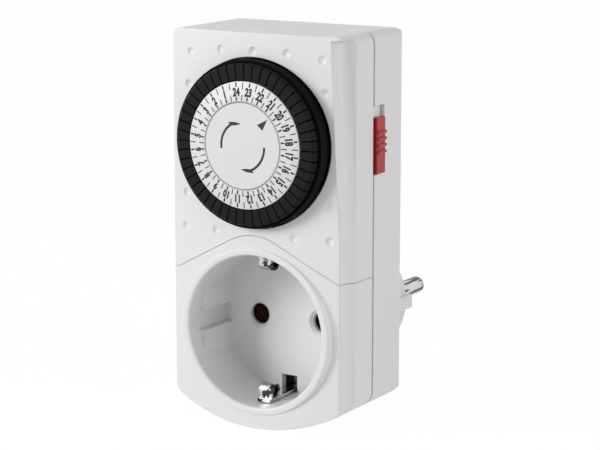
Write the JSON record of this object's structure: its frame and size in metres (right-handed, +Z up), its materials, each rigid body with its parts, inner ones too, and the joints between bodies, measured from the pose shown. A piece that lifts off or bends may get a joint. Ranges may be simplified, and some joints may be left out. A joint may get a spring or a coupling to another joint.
{
  "type": "plug-in timer switch",
  "caption": "Plug-in mechanical day timer: round pin plug behind, earthed socket in front, turning dial with push-in tappets and a red override slider.",
  "frame": {"origin": "centre of the plug's front face, midway between its two pins", "axes": "+Y into the wall along the pins, +Z up towards the dial, +X to the right facing the dial"},
  "size_m": [0.0522, 0.0764, 0.1012],
  "materials": {
    "white_shell": "smooth white moulding",
    "white_cover": "smooth white moulding",
    "white_face": "printed white",
    "black_plastic": "matt black",
    "black_case": "matt black",
    "red_plastic": "red moulding",
    "cream_insulator": "natural",
    "nickel": "nickel plated",
    "brass_strip": "rolled",
    "spring_steel": "bright",
    "zinc_screw": "zinc plated",
    "motor_steel": "pressed",
    "copper_coil": "enamelled winding",
    "lead_brown": "sleeving",
    "lead_blue": "sleeving"
  },
  "bodies": {
    "housing": {"rear_shell": "white_shell", "timer_cover": "white_cover", "socket_cover": "white_cover", "live_pin": "nickel", "neutral_pin": "nickel", "pin_retainer": "cream_insulator", "earth_stirrup_rear": "nickel", "earth_stirrup_front": "nickel", "earth_link": "brass_strip", "live_contact": "brass_strip", "neutral_contact": "brass_strip", "live_feed_strip": "brass_strip", "neutral_link": "brass_strip", "shutter_spring": "spring_steel", "shutter_clip": "spring_steel", "centre_disc": "white_face", "timer_chassis": "cream_insulator", "chassis_screws": "zinc_screw", "motor_can": "motor_steel", "motor_yoke": "motor_steel", "motor_coil": "copper_coil", "gear_axle": "spring_steel", "lever_pivot": "spring_steel", "lever_spring": "spring_steel", "switch_case": "black_case", "switch_terminals": "brass_strip", "detent_spring": "spring_steel", "lead_live": "lead_brown", "lead_neutral": "lead_blue", "housing_screws": "zinc_screw"},
    "dial": {"dial_carrier": "black_plastic", "numeral_ring": "white_face"},
    "gear_two": {"intermediate_gear": "cream_insulator"},
    "motor_pinion": {"output_pinion": "brass_strip"},
    "follower": {"follower_lever": "cream_insulator"},
    "plunger": {"switch_plunger": "red_plastic"},
    "slider": {"override_slider": "red_plastic"},
    "shutter_plate": {"shutter": "red_plastic"},
    "tappet_group_01": {"tappets_01": "black_plastic"},
    "tappet_group_02": {"tappets_02": "black_plastic"},
    "tappet_group_03": {"tappets_03": "black_plastic"},
    "tappet_group_04": {"tappets_04": "black_plastic"},
    "tappet_group_05": {"tappets_05": "black_plastic"},
    "tappet_group_06": {"tappets_06": "black_plastic"},
    "tappet_group_07": {"tappets_07": "black_plastic"},
    "tappet_group_08": {"tappets_08": "black_plastic"},
    "tappet_group_09": {"tappets_09": "black_plastic"},
    "tappet_group_10": {"tappets_10": "black_plastic"},
    "tappet_group_11": {"tappets_11": "black_plastic"},
    "tappet_group_12": {"tappets_12": "black_plastic"}
  },
  "joints": [
    {"name": "dial_turn", "type": "hinge", "parent": "housing", "child": "dial", "pos_m": [0, -0.0522, 0.0484], "axis": [0, 1, 0], "continuous": true},
    {"name": "gear_two_turn", "type": "hinge", "parent": "housing", "child": "gear_two", "pos_m": [-0.00976, -0.0448, 0.05816], "axis": [0, 1, 0], "continuous": true},
    {"name": "motor_pinion_turn", "type": "hinge", "parent": "housing", "child": "motor_pinion", "pos_m": [0.00224, -0.0448, 0.05816], "axis": [0, 1, 0], "continuous": true},
    {"name": "lever_swing", "type": "hinge", "parent": "housing", "child": "follower", "pos_m": [0.0188, -0.0438, 0.06], "axis": [1, 0, 0], "range_deg": [0, 4], "stiffness_Nm_per_rad": 0.002, "springref_deg": -5.73},
    {"name": "plunger_press", "type": "slide", "parent": "housing", "child": "plunger", "axis": [0, 1, 0], "range_m": [0, 0.00099]},
    {"name": "override_slide", "type": "slide", "parent": "housing", "child": "slider", "axis": [0, 0, 1], "range_m": [0, 0.0028]},
    {"name": "shutter_turn", "type": "hinge", "parent": "housing", "child": "shutter_plate", "pos_m": [0, -0.0325, 0], "axis": [0, 1, 0], "range_deg": [0, 40], "stiffness_Nm_per_rad": 0.001, "springref_deg": -5.73},
    {"name": "tappets_01_push", "type": "slide", "parent": "dial", "child": "tappet_group_01", "axis": [0, 1, 0], "range_m": [0, 0.002]},
    {"name": "tappets_02_push", "type": "slide", "parent": "dial", "child": "tappet_group_02", "axis": [0, 1, 0], "range_m": [0, 0.002]},
    {"name": "tappets_03_push", "type": "slide", "parent": "dial", "child": "tappet_group_03", "axis": [0, 1, 0], "range_m": [0, 0.002]},
    {"name": "tappets_04_push", "type": "slide", "parent": "dial", "child": "tappet_group_04", "axis": [0, 1, 0], "range_m": [0, 0.002]},
    {"name": "tappets_05_push", "type": "slide", "parent": "dial", "child": "tappet_group_05", "axis": [0, 1, 0], "range_m": [0, 0.002]},
    {"name": "tappets_06_push", "type": "slide", "parent": "dial", "child": "tappet_group_06", "axis": [0, 1, 0], "range_m": [0, 0.002]},
    {"name": "tappets_07_push", "type": "slide", "parent": "dial", "child": "tappet_group_07", "axis": [0, 1, 0], "range_m": [0, 0.002]},
    {"name": "tappets_08_push", "type": "slide", "parent": "dial", "child": "tappet_group_08", "axis": [0, 1, 0], "range_m": [0, 0.002]},
    {"name": "tappets_09_push", "type": "slide", "parent": "dial", "child": "tappet_group_09", "axis": [0, 1, 0], "range_m": [0, 0.002]},
    {"name": "tappets_10_push", "type": "slide", "parent": "dial", "child": "tappet_group_10", "axis": [0, 1, 0], "range_m": [0, 0.002]},
    {"name": "tappets_11_push", "type": "slide", "parent": "dial", "child": "tappet_group_11", "axis": [0, 1, 0], "range_m": [0, 0.002]},
    {"name": "tappets_12_push", "type": "slide", "parent": "dial", "child": "tappet_group_12", "axis": [0, 1, 0], "range_m": [0, 0.002]}
  ],
  "couplings": [
    {"joint": "gear_two_turn", "follows": "dial_turn", "ratio": -3.6},
    {"joint": "motor_pinion_turn", "follows": "dial_turn", "ratio": 10.8},
    {"joint": "plunger_press", "follows": "lever_swing", "m_per_rad": 0.014}
  ]
}
